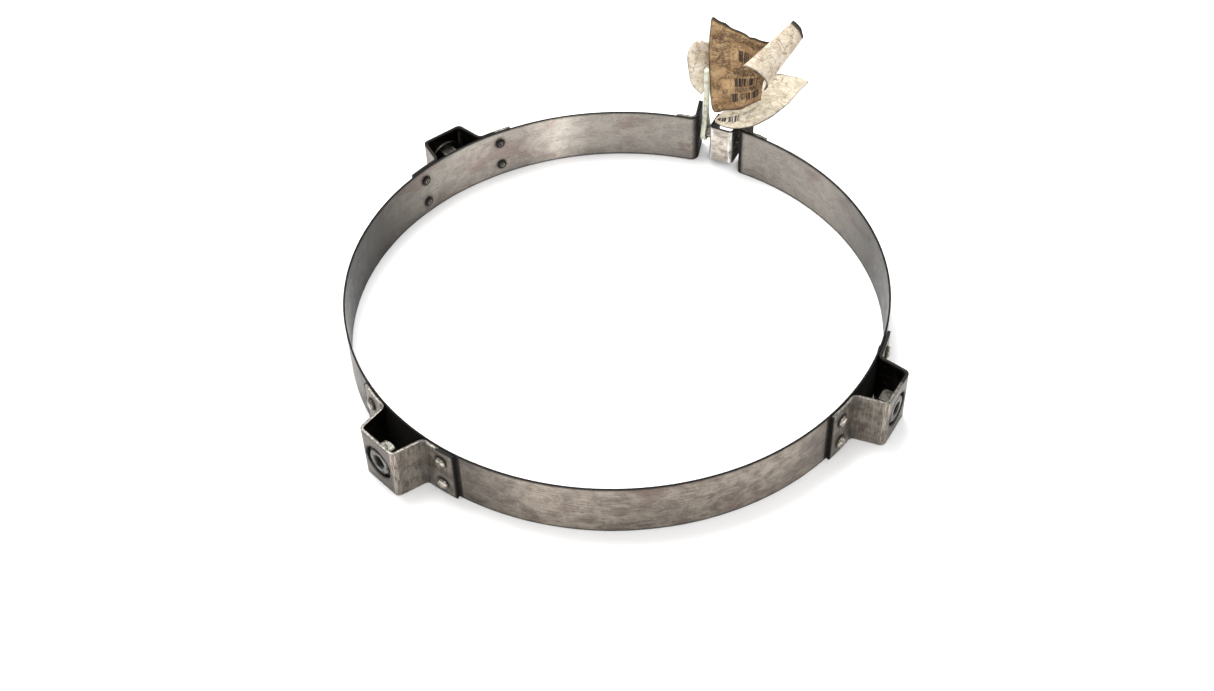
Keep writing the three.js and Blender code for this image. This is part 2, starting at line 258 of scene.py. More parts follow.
def skin(rings, count, closed=False):
    """Faces between rings of points; a closed skin joins the last ring to the first."""
    faces = []
    for i in range(rings if closed else rings - 1):
        n = (i + 1) % rings
        for j in range(count):
            k = (j + 1) % count
            faces.append((i * count + j, i * count + k, n * count + k, n * count + j))
    return faces


def section(thickness, low, high, corner, rows):
    """A rounded rectangle round a strip's middle line: (offset to the left, height) points."""
    half = thickness / 2
    points = []
    for side, z, start in ((1, high - corner, 0), (-1, high - corner, 90),
                           (-1, low + corner, 180), (1, low + corner, 270)):
        for turn in (math.radians(start + step) for step in (0, 45, 90)):
            points.append((side * (half - corner) + corner * math.cos(turn),
                           z + corner * math.sin(turn)))
    span = high - low - 2 * corner
    up = [(half, low + corner + span * i / rows) for i in range(1, rows)]
    down = [(-half, low + high - z) for _, z in up]
    return [*points[:6], *down, *points[6:], *up]


def no_painted_shade(x, y, z, inside):
    return 0.0


def one_tone(x, y, inside):
    return 1.0


def lengths_along(path):
    """The distance from a path's start to each of its points."""
    lengths = [0.0]
    for here, there in zip(path, path[1:]):
        lengths.append(lengths[-1] + (there - here).length)
    return lengths


def corners_along(path):
    """For each point: the way to its left, as long as a mitre needs, and how much it turns left."""
    last = len(path) - 1
    corners = []
    for i, point in enumerate(path):
        before = path[max(i - 1, 0)]
        after = path[min(i + 1, last)]
        here = (point - before).normalized() if i else (after - point).normalized()
        there = (after - point).normalized() if i < last else here
        along = (here + there).normalized()
        left = Vector((-along.y, along.x)) / max(0.3, math.sqrt((1 + here.dot(there)) / 2))
        reach = max(0.5, (after - before).length / 2)
        turn = here.angle(there, 0) if here.cross(there) > 0 else 0.0
        corners.append((left, min(1.0, max(0.0, turn / reach * 4 - 0.1))))
    return corners


def strip_mesh(name, path, thickness, low, high, material, corner=0.18, rows=6, longest=2.0,
               ripple=0.0, grime=no_painted_shade, tone=one_tone):
    """A bent strip with rounded edges, with its length and height as its UV map."""
    path = subdivided(path, longest)
    ring = section(thickness, low, high, corner, rows)
    verts, places = [], []
    values = {key: [] for key in ("edge", "inside", "bend", "grime", "tone")}
    stations = zip(path, lengths_along(path), corners_along(path))
    for number, (point, length, (left, bent)) in enumerate(stations):
        at_end = number in (0, len(path) - 1)
        for across, z in ring:
            ripple_at = (point.x / RIPPLE["along"], point.y / RIPPLE["along"], z / RIPPLE["up"])
            spot = point + left * (across + ripple * noise.noise(Vector(ripple_at)))
            at_rim = min(z - low, high - z) < corner * 0.9
            inside = 1.0 if across > 0 else 0.0
            verts.append((spot.x, spot.y, z))
            places.append(((length + 0.3 * across) * MM, (z + across) * MM))
            values["edge"].append(1.0 if at_end or at_rim else 0.0)
            values["inside"].append(inside)
            values["bend"].append(bent)
            values["grime"].append(grime(spot.x, spot.y, z, inside))
            values["tone"].append(tone(spot.x, spot.y, inside))
    faces = end_caps(len(ring), len(verts)) + skin(len(path), len(ring))
    piece = new_piece(name, verts, faces, material)
    add_uv(piece.data, "strip", places)
    add_values(piece.data, values)
    return piece


def turned(name, profile, material, segments=48, closed=False):
    """A piece turned about +Y, from (y, radius) or (y, radius, painted shade); radius may be a
    function.
    """
    verts, grime = [], []
    for y, radius, *dirt_and_shade in profile:
        for j in range(segments):
            angle = 2 * math.pi * j / segments
            r = radius(angle) if callable(radius) else radius
            verts.append((r * math.cos(angle), y, r * math.sin(angle)))
            grime.append(dirt_and_shade[0] if dirt_and_shade else 0.0)
    faces = skin(len(profile), segments, closed)
    if not closed:
        faces += end_caps(segments, len(verts))
    piece = new_piece(name, verts, faces, material)
    add_values(piece.data, {"grime": grime})
    flip_out(piece)
    return piece


def flip_out(piece):
    """Turns every face of a closed piece outward."""
    mesh = bmesh.new()
    mesh.from_mesh(piece.data)
    bmesh.ops.recalc_face_normals(mesh, faces=mesh.faces)
    mesh.to_mesh(piece.data)
    mesh.free()


def moved(piece, matrix):
    piece.data.transform(matrix)
    return piece


def outward(piece, azimuth, z=0.0):
    """Turns a piece built along +Y so that it points outward at an azimuth."""
    turn = Matrix.Rotation(math.radians(azimuth - 90), 4, "Z")
    return moved(piece, Matrix.Translation((0, 0, z * MM)) @ turn)


def along_bolt(piece):
    """Turns a piece built along +Y so that it lies on the bolt's axis, with +Y as +X."""
    turn = Matrix.Rotation(math.radians(-90), 4, "Z")
    return moved(piece, Matrix.Translation((0, BOLT_Y * MM, BOLT_Z * MM)) @ turn)


def cut_hole(piece, tool):
    """Cuts a closed tool out of a piece and removes the tool."""
    flip_out(piece)
    flip_out(tool)
    cutter = piece.modifiers.new("hole", "BOOLEAN")
    cutter.operation = "DIFFERENCE"
    cutter.solver = "EXACT"
    cutter.object = tool
    depsgraph = bpy.context.evaluated_depsgraph_get()
    mesh = bpy.data.meshes.new_from_object(piece.evaluated_get(depsgraph))
    piece.modifiers.clear()
    old = piece.data
    piece.data = mesh
    mesh.name = old.name
    bpy.data.meshes.remove(old)
    mesh.set_sharp_from_angle(angle=math.radians(SHARP_ANGLE))
    bpy.data.meshes.remove(tool.data)
    return piece


def drill(radius, from_y, to_y, face_y=None):
    """A drill along +Y, which leaves a chamfer where it breaks the face at face_y, if any."""
    if face_y is None:
        profile = [(from_y, radius), (to_y, radius)]
    else:
        wide = radius + DRILL_CHAMFER
        profile = [(from_y, radius), (face_y - DRILL_CHAMFER, radius), (face_y, wide), (to_y, wide)]
    return turned("drill", profile, bpy.data.materials[0])


def bolt_drill():
    return along_bolt(drill(EAR_HOLE_R, -DRILL_REACH, DRILL_REACH))


def settle(piece, body, *nodes):
    """The piece rides on a body and stands for CAD nodes, which it hides."""
    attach(piece, body)
    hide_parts(*nodes)
    return piece


# ---- Materials ----
# Near-black colours for painted shade on sheet steel and on turned steel.
STEEL_SHADE = (0.008, 0.007, 0.006)
TURNED_SHADE = (0.01, 0.009, 0.007)
STEEL_SPECULAR = 0.15


def shade(colour, factor):
    return [channel * factor for channel in colour]


class Nodes:
    """Short calls for building one material's node tree."""

    def __init__(self, name):
        self.material = bpy.data.materials.new(name)
        self.material.use_nodes = True
        self.tree = self.material.node_tree
        self.shader = self.tree.nodes["Principled BSDF"]

    def add(self, kind, **settings):
        node = self.tree.nodes.new(kind)
        for key, value in settings.items():
            setattr(node, key, value)
        return node

    def link(self, source, target):
        self.tree.links.new(source, target)

    def set(self, socket, value):
        if hasattr(value, "is_output"):
            self.link(value, socket)
        else:
            socket.default_value = value

    def uv(self, name="strip"):
        return self.add("ShaderNodeUVMap", uv_map=name).outputs["UV"]

    def place(self):
        return self.add("ShaderNodeTexCoord").outputs["Object"]

    def scaled(self, vector, scale, shift=(0, 0, 0)):
        """A vector for noise. The scale is in cycles per metre, or per sheet for a sheet's UV."""
        node = self.add("ShaderNodeMapping")
        self.link(vector, node.inputs["Vector"])
        node.inputs["Scale"].default_value = scale
        node.inputs["Location"].default_value = shift
        return node.outputs["Vector"]

    def noise(self, vector, detail=4.0, roughness=0.55, distortion=0.0):
        node = self.add("ShaderNodeTexNoise")
        self.link(vector, node.inputs["Vector"])
        node.inputs["Scale"].default_value = 1.0
        node.inputs["Detail"].default_value = detail
        node.inputs["Roughness"].default_value = roughness
        node.inputs["Distortion"].default_value = distortion
        return node.outputs["Fac"]

    def between(self, value, low, high, to_low=0.0, to_high=1.0):
        node = self.add("ShaderNodeMapRange", interpolation_type="SMOOTHSTEP")
        self.link(value, node.inputs["Value"])
        for key, number in (("From Min", low), ("From Max", high), ("To Min", to_low),
                            ("To Max", to_high)):
            node.inputs[key].default_value = number
        return node.outputs["Result"]

    def maths(self, operation, a, b=0.0):
        node = self.add("ShaderNodeMath", operation=operation)
        self.set(node.inputs[0], a)
        self.set(node.inputs[1], b)
        return node.outputs["Value"]

    def mix(self, factor, a, b):
        node = self.add("ShaderNodeMix", data_type="RGBA")
        self.set(node.inputs["Factor"], factor)
        for socket, value in ((node.inputs[6], a), (node.inputs[7], b)):
            self.set(socket, value if hasattr(value, "is_output") else (*value, 1.0))
        return node.outputs[2]

    def brighter(self, colour, amount):
        node = self.add("ShaderNodeVectorMath", operation="SCALE")
        self.link(colour, node.inputs[0])
        self.link(amount, node.inputs["Scale"])
        return node.outputs["Vector"]

    def attribute(self, name):
        return self.add("ShaderNodeAttribute", attribute_name=name).outputs["Fac"]

    def bump(self, height, strength, distance, normal=None):
        node = self.add("ShaderNodeBump")
        self.link(height, node.inputs["Height"])
        node.inputs["Strength"].default_value = strength
        node.inputs["Distance"].default_value = distance
        if normal:
            self.link(normal, node.inputs["Normal"])
        return node.outputs["Normal"]

    def finish(self, colour, roughness, normal=None, metallic=0.0):
        self.set(self.shader.inputs["Base Color"], colour)
        self.set(self.shader.inputs["Roughness"], roughness)
        self.set(self.shader.inputs["Metallic"], metallic)
        if normal:
            self.link(normal, self.shader.inputs["Normal"])
        return self.material


def sheet_steel(name, light, dark, stain, edge_colour_and_shade, inside_colour_and_shade, contrast=0.12,
                grain=(70, 2600)):
    """Brushed strip, mottled and heat stained, with its cut edges in a colour of their own, near
    black as painted shade on the strap and spacer; bends get a painted highlight with wear, and the
    mesh's values paint shade and highlights.
    """
    n = Nodes(name)
    uv = n.uv()
    streaks = n.noise(n.scaled(uv, (*grain, 1)), 3.0, 0.6)
    blotch = n.noise(n.scaled(uv, (150, 190, 1)), 6.0, 0.68, 0.6)
    patch = n.noise(n.scaled(uv, (34, 60, 1), (3.1, 1.7, 0)), 4.0, 0.6, 0.8)
    speck = n.noise(n.scaled(uv, (700, 800, 1)), 3.0, 0.7)
    scratch = n.noise(n.scaled(uv, (120, 4200, 1), (0.4, 0.2, 0)), 2.0, 0.5)
    rubs = n.noise(n.scaled(uv, (2600, 130, 1), (1.4, 0.9, 0)), 3.0, 0.6)
    tone = n.maths("ADD", n.maths("MULTIPLY", blotch, 0.6), n.maths("MULTIPLY", streaks, 0.4))
    outer = n.mix(n.between(tone, 0.5 - contrast, 0.5 + contrast), dark, light)
    # The inside colour: painted shade in the hollows of the bracket and the spacer; the strap's inner
    # face gets its own lighter colour.
    inner = n.mix(n.between(tone, 0.42, 0.58), shade(inside_colour_and_shade, 0.7), inside_colour_and_shade)
    plain = n.mix(n.attribute("inside"), outer, inner)
    stained = n.mix(n.between(patch, 0.52, 0.66, 0.0, 0.5), plain, stain)
    flecked = n.mix(n.between(speck, 0.58, 0.68, 0.0, 0.6), stained, shade(dark, 0.35))
    rubbed = n.mix(n.between(scratch, 0.6, 0.7, 0.0, 0.45), flecked, shade(light, 1.5))
    # A painted highlight with wear along the bends, broken by rub marks.
    bend_highlight = n.maths("MULTIPLY", n.attribute("bend"), n.between(rubs, 0.46, 0.6, 0.0, 0.75))
    worn = n.mix(bend_highlight, rubbed, [min(1.0, channel) for channel in shade(light, 2.1)])
    # The tone values paint shade and highlights round the strap, and darken the hats' outer plates.
    toned = n.brighter(worn, n.attribute("tone"))
    # Cut edges, near black on the strap and spacer as painted shade.
    cut_edge = n.mix(n.between(speck, 0.4, 0.6), shade(edge_colour_and_shade, 0.35), edge_colour_and_shade)
    edged = n.mix(n.attribute("edge"), toned, cut_edge)
    # Painted shade near black from the mesh's values, broken a little by specks.
    grime = n.maths("MULTIPLY", n.attribute("grime"), n.between(speck, 0.3, 0.5, 0.86, 1.0))
    colour = n.mix(grime, edged, STEEL_SHADE)
    clean = n.between(tone, 0.35, 0.68, 0.34, 0.54)
    rough = n.maths("ADD", clean, n.maths("MULTIPLY", grime, 0.35))
    fine = n.bump(streaks, 0.35, 0.00004)
    normal = n.bump(blotch, 0.3, 0.0002, fine)
    n.shader.inputs["Specular IOR Level"].default_value = STEEL_SPECULAR
    return n.finish(colour, rough, normal, n.maths("SUBTRACT", 1.0, grime))


def turned_steel(name, light, dark, rough_low, rough_high):
    """Plain machined or headed steel, with grime in patches and small dents, and painted shade near
    black where its profile asks for it.
    """
    n = Nodes(name)
    place = n.place()
    patches = n.noise(n.scaled(place, (420, 420, 420)), 4.0, 0.6, 0.4)
    pits = n.noise(n.scaled(place, (1500, 1500, 1500)), 3.0, 0.6)
    colour = n.mix(n.between(patches, 0.38, 0.62), dark, light)
    spotted = n.mix(n.between(pits, 0.56, 0.66, 0.0, 0.7), colour, shade(dark, 0.3))
    grime = n.attribute("grime")
    with_painted_shade = n.mix(grime, spotted, TURNED_SHADE)
    rough = n.between(patches, 0.35, 0.65, rough_high, rough_low)
    normal = n.bump(pits, 0.4, 0.00006)
    n.shader.inputs["Specular IOR Level"].default_value = STEEL_SPECULAR
    return n.finish(with_painted_shade, rough, normal, n.maths("SUBTRACT", 1.0, grime))


def printed_paper(name, base, worn, dirt_and_shade, ink, crease_scale):
    """Creased, greasy paper with rows of plain bars and broken rules, no lettering; its creases
    darken with painted shade and grease, and its rims with painted shade near black.
    """
    n = Nodes(name)
    uv = n.uv("sheet")
    place = n.place()
    stains = n.noise(n.scaled(place, (150, 150, 150)), 6.0, 0.7, 0.8)
    spots = n.noise(n.scaled(place, (420, 420, 420), (2.0, 5.0, 1.0)), 4.0, 0.7, 0.5)
    fibres = n.noise(n.scaled(place, (1300, 1300, 1300)), 4.0, 0.7)
    crumple = n.noise(n.scaled(place, (crease_scale,) * 3), 3.0, 0.5, 1.6)
    folds = n.maths("ABSOLUTE", n.maths("SUBTRACT", crumple, 0.5))
    paper = n.mix(n.between(stains, 0.4, 0.62), base, worn)
    spotted = n.mix(n.between(spots, 0.52, 0.66, 0.0, 0.6), paper, dirt_and_shade)
    # Darker along the creases: painted shade with grease.
    creased = n.mix(n.between(folds, 0.0, 0.022, 0.85, 0.0), spotted, dirt_and_shade)
    split = n.add("ShaderNodeSeparateXYZ")
    n.link(uv, split.inputs[0])
    across, up = split.outputs["X"], split.outputs["Y"]
    printed = creased
    for left, right, low, high, columns, rows, strength in PRINT_BLOCKS[name]:
        inside = n.maths("MULTIPLY", band(n, across, left, right), band(n, up, low, high))
        stripes = n.noise(n.scaled(uv, (columns, rows, 1), (left * 7, low * 5, 0)), 1.0, 0.5)
        marks = n.maths("MULTIPLY", inside, n.between(stripes, 0.455, 0.475, 0.0, strength))
        printed = n.mix(marks, printed, ink)
    # Painted shade near black on the rims and the dark tops.
    rim_shaded = n.mix(n.attribute("rim"), printed, shade(dirt_and_shade, 0.08))
    soft = n.bump(fibres, 0.25, 0.00008)
    normal = n.bump(folds, 0.8, 0.0022, soft)
    return n.finish(rim_shaded, 0.86, normal)


def band(n, value, low, high):
    """1 where a value lies between two limits, with soft ends."""
    rising = n.between(value, low - 0.004, low + 0.004)
    falling = n.between(value, high - 0.004, high + 0.004, 1.0, 0.0)
    return n.maths("MULTIPLY", rising, falling)


# Printed blocks as (left, right, bottom, top, stripes across, stripes up, strength of the ink),
# in the tag's own 0 to 1. Bars have few stripes up; broken rules have many.
PRINT_BLOCKS = {
    "kraft_paper": [(0.4, 0.88, 0.29, 0.4, 84, 0.1, 1.0), (0.3, 0.9, 0.1, 0.2, 84, 0.1, 1.0),
                    (0.46, 0.72, 0.62, 0.76, 56, 0.1, 0.9), (0.05, 0.34, 0.5, 0.84, 9, 56, 0.45),
                    (0.2, 0.9, 0.86, 0.94, 20, 90, 0.6), (0.38, 0.9, 0.43, 0.52, 26, 90, 0.7),
                    (0.4, 0.86, 0.22, 0.27, 26, 90, 0.7)],
    "cream_paper": [(0.1, 0.32, 0.22, 0.42, 70, 0.1, 1.0), (0.34, 0.44, 0.36, 0.46, 30, 70, 0.6)],
    "plain_paper": [(0.3, 0.5, 0.5, 0.6, 24, 60, 0.4)],
}


def nylon():
    n = Nodes("tie_plastic")
    place = n.place()
    grime = n.noise(n.scaled(place, (260, 260, 260)), 4.0, 0.6)
    colour = n.mix(n.between(grime, 0.45, 0.7), (0.72, 0.74, 0.6), (0.42, 0.4, 0.28))
    material = n.finish(colour, 0.45, n.bump(grime, 0.2, 0.0002))
    n.shader.inputs["Subsurface Weight"].default_value = 0.12
    n.shader.inputs["Subsurface Radius"].default_value = (0.002, 0.002, 0.001)
    return material


def make_materials():
    return {
        # The strap's near-black edge colour is painted shade along its thin edges.
        "strap": sheet_steel(
            "stained_strap", light=(0.32, 0.28, 0.235), dark=(0.135, 0.112, 0.095),
            stain=(0.15, 0.1, 0.09), edge_colour_and_shade=(0.02, 0.018, 0.016),
            inside_colour_and_shade=(0.29, 0.265, 0.235)),
        # The bracket's near-black inside colour is painted shade in its hollow.
        "bracket": sheet_steel(
            "bracket_steel", light=(0.23, 0.205, 0.175), dark=(0.1, 0.085, 0.07),
            stain=(0.11, 0.075, 0.065), edge_colour_and_shade=(0.2, 0.185, 0.165),
            inside_colour_and_shade=(0.02, 0.018, 0.014), contrast=0.09, grain=(1500, 110)),
        # The spacer's dark inside colour and near-black edge colour are painted shade.
        "spacer": sheet_steel(
            "spacer_steel", light=(0.72, 0.66, 0.58), dark=(0.22, 0.19, 0.16),
            stain=(0.15, 0.1, 0.08), edge_colour_and_shade=(0.05, 0.045, 0.04),
            inside_colour_and_shade=(0.2, 0.18, 0.15), contrast=0.14),
        "bolt": turned_steel("bolt_steel", light=(0.34, 0.32, 0.28), dark=(0.12, 0.11, 0.09),
                             rough_low=0.3, rough_high=0.5),
        # The nut's colours are darkened as painted shade, for the nuts sit in the hats' shaded
        # insides.
        "nut": turned_steel("nut_steel", light=(0.115, 0.11, 0.095), dark=(0.035, 0.033, 0.028),
                            rough_low=0.26, rough_high=0.44),
        "rivet": turned_steel("rivet_steel", light=(0.5, 0.46, 0.4), dark=(0.13, 0.11, 0.09),
                              rough_low=0.16, rough_high=0.36),
        "kraft": printed_paper(
            "kraft_paper", base=(0.24, 0.14, 0.062), worn=(0.42, 0.275, 0.14),
            dirt_and_shade=(0.09, 0.046, 0.02), ink=(0.018, 0.011, 0.008), crease_scale=90),
        "cream": printed_paper(
            "cream_paper", base=(0.57, 0.51, 0.4), worn=(0.4, 0.34, 0.25),
            dirt_and_shade=(0.2, 0.15, 0.1), ink=(0.02, 0.02, 0.02), crease_scale=90),
        "plain": printed_paper(
            "plain_paper", base=(0.66, 0.59, 0.48), worn=(0.47, 0.39, 0.29),
            dirt_and_shade=(0.24, 0.17, 0.11), ink=(0.4, 0.3, 0.22), crease_scale=110),
        "tie": nylon(),
    }


# ---- Steel pieces ----
# Painted reflection and shade round the ring, as (azimuth, brightness), for each of the strap's
# faces, with a painted highlight on the inner face near 130 degrees.
INSIDE_PAINTED_LIGHT = [(0, 0.2), (25, 0.22), (40, 0.28), (60, 0.95), (112, 0.95), (122, 1.1), (130, 2.1),
                (138, 1.1), (150, 1.3), (162, 1.0), (172, 0.55), (182, 0.24), (200, 0.12), (230, 0.6),
                (340, 0.6), (360, 0.2)]
OUTSIDE_PAINTED_LIGHT = [(0, 0.3), (20, 0.15), (40, 0.5), (90, 0.7), (205, 0.6), (222, 0.58), (232, 0.22),
                 (250, 0.45), (268, 0.6), (282, 1.25), (300, 0.9), (330, 1.1), (345, 0.7), (360, 0.3)]


def strap_painted_light(x, y, inside):
    azimuth = math.degrees(math.atan2(y, x)) % 360
    painted_table = INSIDE_PAINTED_LIGHT if inside else OUTSIDE_PAINTED_LIGHT
    for (start, low), (end, high) in zip(painted_table, painted_table[1:]):
        if azimuth <= end:
            return low + (high - low) * (azimuth - start) / (end - start)
    return 1.0


def soft_step(value, low, high):
    """0 below low, 1 above high, and smooth between."""
    share = min(1.0, max(0.0, (value - low) / (high - low)))
    return share * share * (3 - 2 * share)


def fade_out(value, low, high):
    return 1 - soft_step(value, low, high)


# How black each kind of painted shade is, and where it comes or goes. Degrees round the ring for
# under_hat, flange and flange_end, and millimetres for the rest: places along X for the gap,
# places along Y for ear, lug and spacer, and distances for the others.
PAINTED_SHADE = {"rim": 0.9, "tail": 0.5, "flange": 0.96, "lug": 0.95, "spacer": 0.94,
         "black_rim": 0.96, "valley": 0.45, "head": 0.75, "seat": 0.6}
FADES = {"rim": (0.2, 0.8), "ear": (STRAP_OUTER_R, STRAP_OUTER_R + 1.2),
         "gap_left": (-15.6, -13.2), "gap_right": (10.6, 11.8), "tail": (2.2, 3.8),
         "under_hat": (7.0, 7.6), "flange": (0.7, 1.1),
         "lug": (STRAP_OUTER_R + 0.6, STRAP_OUTER_R + 2.4),
         "spacer": (SPACER["base"] + 0.5, SPACER["base"] + 1.3),
         "flange_end": (FLANGE_END_ANGLE - 0.5, FLANGE_END_ANGLE - 0.2), "valley": (0.4, 1.8),
         "head": (RIVET["head"] + 0.1, RIVET["head"] + 1.1),
         "seat": (SEAT_HOLE_R, SEAT_HOLE_R + 1.2)}


def tail_shade(off, z):
    """Painted shade in rings round the rivets' tails, from the degrees off a bracket's middle and the
    height.
    """
    along = math.radians(off - RIVET_ANGLE) * STRAP_MID_R
    nearest = min(math.hypot(along, z - rivet_z) for rivet_z in RIVET_HEIGHTS)
    return PAINTED_SHADE["tail"] * fade_out(nearest, *FADES["tail"])


def hat_shadow(off):
    """Black under a hat and beside its flanges' ends, from the degrees off its middle."""
    line = PAINTED_SHADE["flange"] * fade_out(abs(off - FLANGE_END_ANGLE), *FADES["flange"])
    return max(line, fade_out(off, *FADES["under_hat"]))


def strap_shade(x, y, z, inside):
    """Painted shade: black on the rims and at the gap, behind the hats, and round the rivets' tails
    inside.
    """
    azimuth = math.degrees(math.atan2(y, x))
    dirt_and_shade = max(soft_step(y, *FADES["ear"]),
               PAINTED_SHADE["rim"] * fade_out(min(z, STRAP_W - z), *FADES["rim"]))
    if y > 0:
        dirt_and_shade = max(dirt_and_shade, soft_step(x, *FADES["gap_left"]) * fade_out(x, *FADES["gap_right"]))
    for middle in BRACKETS.values():
        off = abs((azimuth - middle + 180) % 360 - 180)
        dirt_and_shade = max(dirt_and_shade, tail_shade(off, z) if inside else hat_shadow(off))
    return dirt_and_shade


def make_strap(steel):
    strap = strip_mesh("strap", strap_path(), STRAP_T, 0, STRAP_W, steel["strap"],
                       corner=0.16, rows=24, longest=1.0, ripple=RIPPLE["height"], grime=strap_shade,
                       tone=strap_painted_light)
    cut_hole(strap, bolt_drill())
    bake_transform(strap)
    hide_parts("strap_left", "strap_right")


# Painted shade: the lugs go near black outward of the strap.
def lug_shade(x, y, z, inside):
    return PAINTED_SHADE["lug"] * soft_step(y, *FADES["lug"])


def make_lugs(steel):
    for node, ear, body, flip in (("lug_left", LEFT_EAR, "ring_left", True),
                                  ("lug_right", RIGHT_EAR, "ring_right", False)):
        # The lugs take the darker bracket steel as painted shade.
        path = mirrored(lug_path(ear)) if flip else lug_path(ear)
        piece = strip_mesh(node + "_fine", path, LUG_T, 0, STRAP_W, steel["bracket"],
                           grime=lug_shade)
        settle(cut_hole(piece, bolt_drill()), body, node)


# Painted shade: the spacer's legs go near black away from its base.
def spacer_shade(x, y, z, inside):
    return PAINTED_SHADE["spacer"] * soft_step(y, *FADES["spacer"])


def make_spacer(steel):
    base_y = SPACER["base"] + SPACER["t"] / 2
    path = channel_path((SPACER["width"] - SPACER["t"]) / 2, base_y, SPACER["tip"],
                        SPACER["bend"], SPACER_X)
    piece = strip_mesh("gap_spacer_fine", path, SPACER["t"], SPACER["low"], SPACER["high"],
                       steel["spacer"], longest=0.8, grime=spacer_shade)
    settle(cut_hole(piece, bolt_drill()), "spacer", "gap_spacer")


def hexagon(across_corners_half, limit):
    """Radius of a hexagon at an angle, but no more than a limit, as a chamfer cuts it."""
    flat = across_corners_half * math.cos(math.pi / 6)

    def radius(angle):
        off = (angle % (math.pi / 3)) - math.pi / 6
        return min(flat / math.cos(off), limit)
    return radius


def hex_profile(corner_r, low, high, chamfer_high=True):
    """Rings of a hexagonal prism whose corners are turned down at its ends."""
    drop = corner_r * HEX_CHAMFER["drop"]
    depth = corner_r * HEX_CHAMFER["depth"]
    steps = HEX_CHAMFER["steps"]
    rings = []
    for end, chamfered, way in ((low, True, 1), (high, chamfer_high, -1)):
        part = []
        for i in range(steps + 1):
            limit = corner_r - drop * (1 - i / steps) if chamfered else corner_r + 1
            part.append((end + way * depth * i / steps, hexagon(corner_r, limit)))
        rings += part if way > 0 else part[::-1]
    return rings


def thread(radius, depth, pitch, low, high, per_pitch=8):
    """Rings of a screw thread, whose crest winds round the Y axis."""
    def ring(y):
        def at(angle):
            phase = (y / pitch - angle / (2 * math.pi)) % 1.0
            return radius - depth * abs(2 * phase - 1)
        return at
    count = int((high - low) / pitch * per_pitch)
    return [(low + (high - low) * i / count, ring(low + (high - low) * i / count))
            for i in range(count + 1)]


def make_bolt(steel):
    face, end = BOLT_HEAD["face"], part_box("clamp_bolt")[1][0] / MM
    top = face - BOLT_HEAD["t"]
    depth = BOLT_THREAD["depth"]
    head = along_bolt(turned("bolt_head", [
        (top - 0.001, 0.05), *hex_profile(HEX_R, top, face),
        (face + 0.001, BOLT_R + 0.3), (face + 0.3, BOLT_R), (face + 0.6, BOLT_R),
    ], steel["bolt"], 96))
    shank = along_bolt(turned("bolt_shank", [
        (face + 0.4, BOLT_R - 0.2), (face + 0.5, BOLT_R), (BOLT_THREAD["start"] - 0.4, BOLT_R),
        *thread(BOLT_R, depth, BOLT_THREAD["pitch"], BOLT_THREAD["start"], end - 0.7),
        (end - 0.5, BOLT_R - depth), (end, BOLT_R - 0.6),
    ], steel["bolt"], 40))
    settle(head, "ring_left", "clamp_bolt")
    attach(shank, "ring_left")


def make_washer(steel, node, body):
    low, high = (corner[0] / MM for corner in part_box(node))
    hole, rim, round_off = BOLT_R + WASHER["play"], WASHER["rim_r"], WASHER["round_off"]
    profile = [(low, hole + round_off), (low, rim - round_off), (low + round_off, rim),
               (high - round_off, rim), (high, rim - round_off), (high, hole + round_off),
               (high - round_off, hole), (low + round_off, hole)]
    piece = along_bolt(turned(node + "_fine", profile, steel["bolt"], 64, closed=True))
    settle(piece, body, node)


def make_lock_nut(steel):
    low, high = (corner[0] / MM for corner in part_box("lock_nut"))
    hex_high = low + LOCK_NUT["hex_t"]
    collar, bore = LOCK_NUT["collar_r"], BOLT_R + LOCK_NUT["play"]
    profile = [(low, BOLT_R + 0.25), *hex_profile(HEX_R, low, hex_high), (hex_high, collar),
               (hex_high + 0.3, collar - 0.2), (high - 0.5, collar - 0.3),
               (high - 0.15, collar - 0.5), (high, collar - 0.9),
               (high, BOLT_R + 0.3), (high - 0.3, bore), (low + 0.3, bore)]
    piece = along_bolt(turned("lock_nut_fine", profile, steel["bolt"], 96, closed=True))
    settle(piece, "clamp_nut", "lock_nut")


def weld_nut_profile():
    """The hexagon, flange and boss outside, and then back through the threaded bore."""
    back, boss_end = NUT_FACE_R - NUT["flange_t"], HAT_OUTER_R - FIT_GAP
    bore, flange, boss = NUT["bore"], NUT["flange_r"], NUT["boss_r"]
    winding = thread(bore + NUT_THREAD["crest"], NUT_THREAD["depth"], NUT_THREAD["pitch"],
                     NUT["end"] + 0.5, boss_end - 0.6, 7)
    # The third numbers are painted shade: round the flange's rim, in the shadow of the seat hole's
    # edge, in the corner at the boss's foot, and down the bore.
    return [(NUT["end"], bore + 0.5), *hex_profile(NUT["hex_r"], NUT["end"], back, False),
            (back, flange - 0.3), (back + 0.3, flange),
            (NUT_FACE_R - 0.2, flange, 0.9), (NUT_FACE_R, flange - 0.3, 0.9),
            (NUT_FACE_R, SEAT_HOLE_R - 0.5, 0.7), (NUT_FACE_R, SEAT_HOLE_R - 1.2, 0.1),
            (NUT_FACE_R, boss + 0.5, 0.1), (NUT_FACE_R, boss + 0.1, 0.9),
            (NUT_FACE_R + 0.25, boss, 0.5), (boss_end - 0.3, boss),
            (boss_end, boss - 0.4), (boss_end, bore + 0.8), (boss_end - 0.3, bore + 0.4, 0.6),
            *((y, radius, 0.9) for y, radius in reversed(winding))]


def make_weld_nut(steel, letter, body):
    piece = turned(f"weld_nut_{letter}_fine", weld_nut_profile(), steel["nut"], 96, closed=True)
    outward(piece, BRACKETS[letter], STRAP_W / 2)
    settle(piece, body, f"weld_nut_{letter}")


# The dome's rings, as (degrees up from its foot, painted shade).
DOME_RINGS = ((8, 0.9), (20, 0.5), (32, 0.1), (44, 0), (56, 0), (66, 0), (75, 0.1), (83, 0.2))


